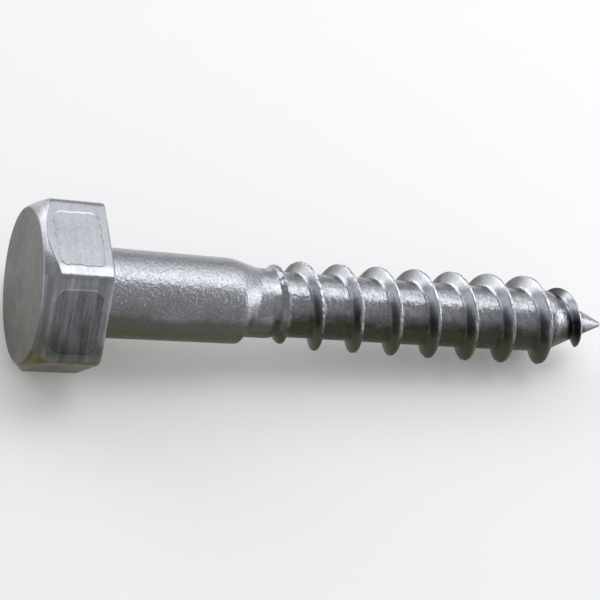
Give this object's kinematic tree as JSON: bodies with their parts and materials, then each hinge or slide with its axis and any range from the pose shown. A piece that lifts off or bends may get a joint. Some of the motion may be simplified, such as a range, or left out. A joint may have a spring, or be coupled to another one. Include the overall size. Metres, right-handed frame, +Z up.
{
  "type": "lag screw",
  "caption": "Hex head lag screw with a tapered shank, a necked shoulder, a coarse right-hand wood-screw thread and a gimlet point.",
  "frame": {"origin": "on the floor under the middle of the screw's bounding box", "axes": "the screw lies at rest along X, head towards -X and point towards +X, +Z up; its axis falls a few degrees towards the point"},
  "size_m": [0.0674, 0.0186, 0.0168],
  "materials": {
    "bright_steel": "bright forged and rolled steel, slightly grained, with drag marks on the flats of the head"
  },
  "bodies": {
    "root": {"lag_screw": "bright_steel"}
  },
  "joints": []
}
